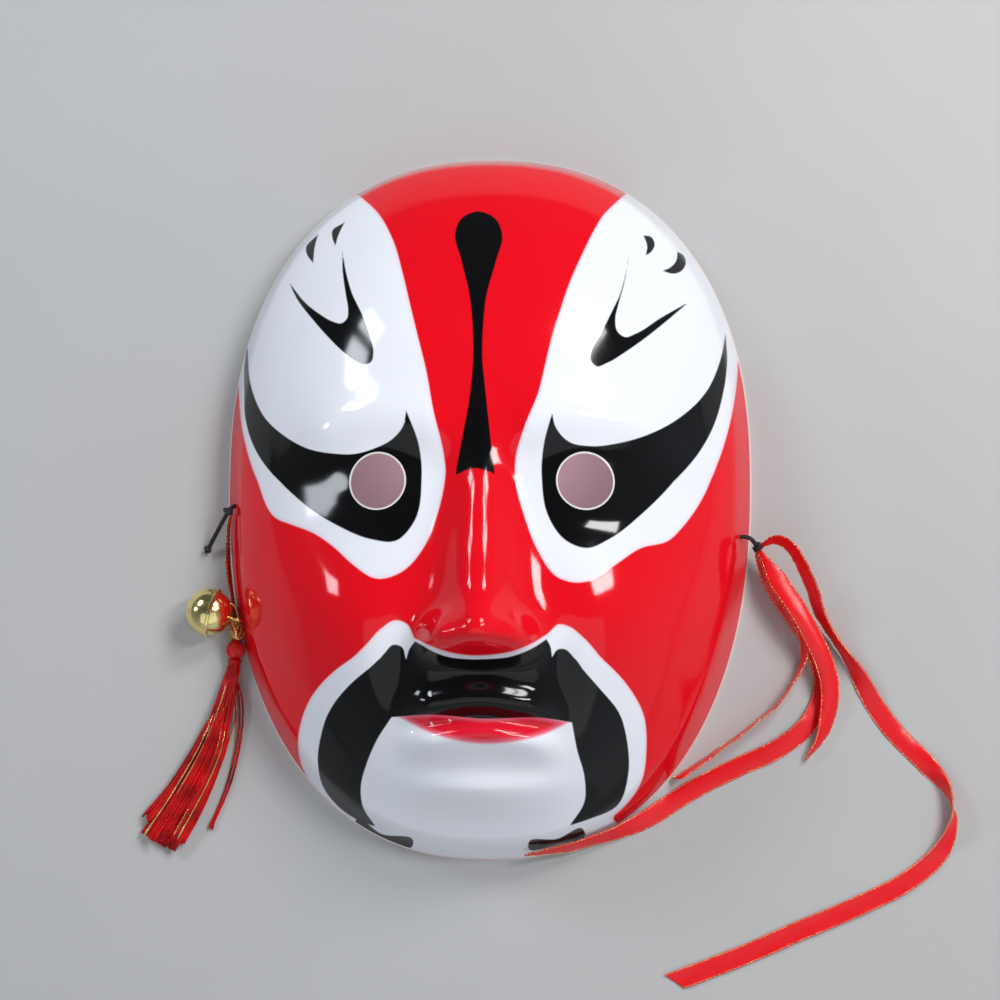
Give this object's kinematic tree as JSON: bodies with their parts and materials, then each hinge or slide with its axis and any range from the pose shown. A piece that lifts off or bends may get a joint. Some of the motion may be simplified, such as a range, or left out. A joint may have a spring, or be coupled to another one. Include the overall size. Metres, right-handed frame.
{
  "type": "chinese opera mask",
  "caption": "Thin glossy plastic face mask with painted opera make-up, eye holes, an elastic head cord, satin ribbon tails, a small bell and a tassel, lying face up.",
  "frame": {"origin": "middle of the flat rim that the mask lies on, bells and ribbons left out", "axes": "+Z out of the face, +Y to the top of the forehead, +X to the right as the face is looked at"},
  "size_m": [0.2742, 0.2823, 0.0752],
  "materials": {
    "painted_plastic": "high gloss print in red, white and black",
    "black_elastic": "braided, matte",
    "red_satin": "satin weave with thin gold edge threads",
    "gold_metal": "bright pale gold plating",
    "gold_thread": "metallic wound thread",
    "red_silk": "fine glossy thread"
  },
  "bodies": {
    "root": {"mask_shell": "painted_plastic", "elastic_band": "black_elastic", "elastic_tail_left": "black_elastic", "elastic_knot_left": "black_elastic", "elastic_end_knot_left": "black_elastic", "elastic_knot_right": "black_elastic", "ribbon_a": "red_satin", "ribbon_b": "red_satin", "ribbon_c": "red_satin", "ribbon_d": "red_satin", "hanging_cord": "red_silk", "jingle_bell": "gold_metal", "gold_binding": "gold_thread", "tassel_head": "red_silk", "tassel_neck": "red_silk", "tassel_skirt": "red_silk"}
  },
  "joints": []
}
